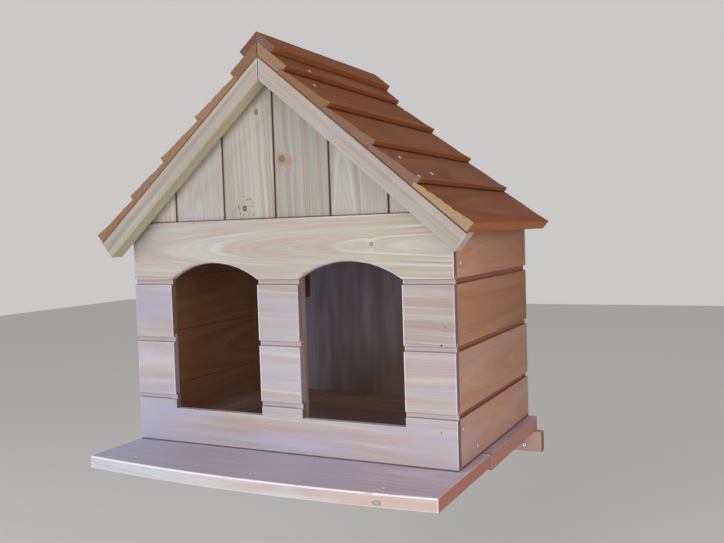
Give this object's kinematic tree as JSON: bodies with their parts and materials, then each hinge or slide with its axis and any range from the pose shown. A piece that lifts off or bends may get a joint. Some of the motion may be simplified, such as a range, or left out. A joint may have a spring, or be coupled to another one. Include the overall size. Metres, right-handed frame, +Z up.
{
  "type": "wall-hung wooden nest house",
  "caption": "Gabled cedar nest house with twin arched doorways, a board roof and a landing ledge, hung on an aviary wall by a ledger batten.",
  "frame": {"origin": "middle of the ledger batten's back face, on the plane of the wall that carries the house", "axes": "+X to the right seen from the front, -Y out of the wall towards the doorways, +Z up"},
  "size_m": [0.6918, 0.5329, 0.7378],
  "materials": {
    "front_cladding": "matte",
    "side_cladding": "matte",
    "gable_cladding": "matte",
    "bargeboard_wood": "matte",
    "roof_board": "matte",
    "floor_board": "matte",
    "batten_wood": "matte",
    "plywood": "satin"
  },
  "bodies": {
    "root": {"wall_ledger": "batten_wood", "floor_rear": "floor_board", "floor_front": "floor_board", "sill_board": "front_cladding", "lintel_board": "front_cladding", "pier_left_lower": "front_cladding", "pier_left_upper": "front_cladding", "pier_centre_lower": "front_cladding", "pier_centre_upper": "front_cladding", "pier_right_lower": "front_cladding", "pier_right_upper": "front_cladding", "side_left_1": "side_cladding", "side_left_2": "side_cladding", "side_left_3": "side_cladding", "side_left_4": "side_cladding", "side_right_1": "side_cladding", "side_right_2": "side_cladding", "side_right_3": "side_cladding", "side_right_4": "side_cladding", "batten_left": "batten_wood", "batten_right": "batten_wood", "batten_back": "batten_wood", "corner_posts": "batten_wood", "centre_stile": "batten_wood", "stile_block": "batten_wood", "back_panel": "plywood", "gable_boards": "gable_cladding", "rafters_left": "batten_wood", "rafters_right": "batten_wood", "bargeboard_left": "bargeboard_wood", "bargeboard_right": "bargeboard_wood", "roof_left_1": "roof_board", "roof_left_2": "roof_board", "roof_left_3": "roof_board", "roof_left_4": "roof_board", "roof_left_5": "roof_board", "roof_right_1": "roof_board", "roof_right_2": "roof_board", "roof_right_3": "roof_board", "roof_right_4": "roof_board", "roof_right_5": "roof_board", "ridge_cap_left": "roof_board", "ridge_cap_right": "roof_board"}
  },
  "joints": []
}
